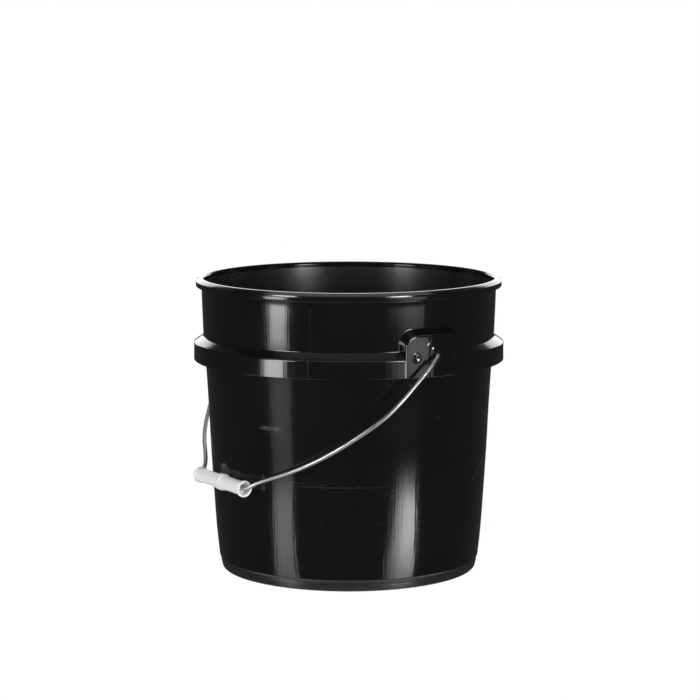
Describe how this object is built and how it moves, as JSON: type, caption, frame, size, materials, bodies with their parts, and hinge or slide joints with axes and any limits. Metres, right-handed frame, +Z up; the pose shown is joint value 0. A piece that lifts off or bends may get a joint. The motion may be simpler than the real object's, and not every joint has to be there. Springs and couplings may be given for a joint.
{
  "type": "florist bucket",
  "caption": "Round tapered plastic bucket with a turned-out rim, a hollow skirt ring, moulded bail ears and a swinging wire bail with a free-turning tube grip.",
  "frame": {"origin": "centre of the foot ring's lowest plane, on the bucket's axis", "axes": "+X along the bail's hinge axis through both ear holes, +Z up, and the bail at rest on the -Y side"},
  "size_m": [0.2695, 0.2488, 0.2344],
  "materials": {
    "bucket_plastic": "black high-density polyethylene as moulded, satin to glossy, with faint upright flow lines, scuffs and handling haze",
    "bail_steel": "bright zinc-plated steel wire, drawn, with fine lengthwise lines",
    "grip_plastic": "natural white polyethylene, slightly translucent, soft satin"
  },
  "bodies": {
    "pail": {"pail_body": "bucket_plastic"},
    "bail": {"bail_wire": "bail_steel"},
    "grip": {"grip": "grip_plastic"}
  },
  "joints": [
    {"name": "bail_swing", "type": "hinge", "parent": "pail", "child": "bail", "pos_m": [0, 0, 0.1862], "axis": [-1, 0, 0], "range_deg": [0, 265]},
    {"name": "grip_spin", "type": "hinge", "parent": "bail", "child": "grip", "pos_m": [0, -0.11715, 0.07885], "axis": [1, 0, 0], "continuous": true}
  ]
}
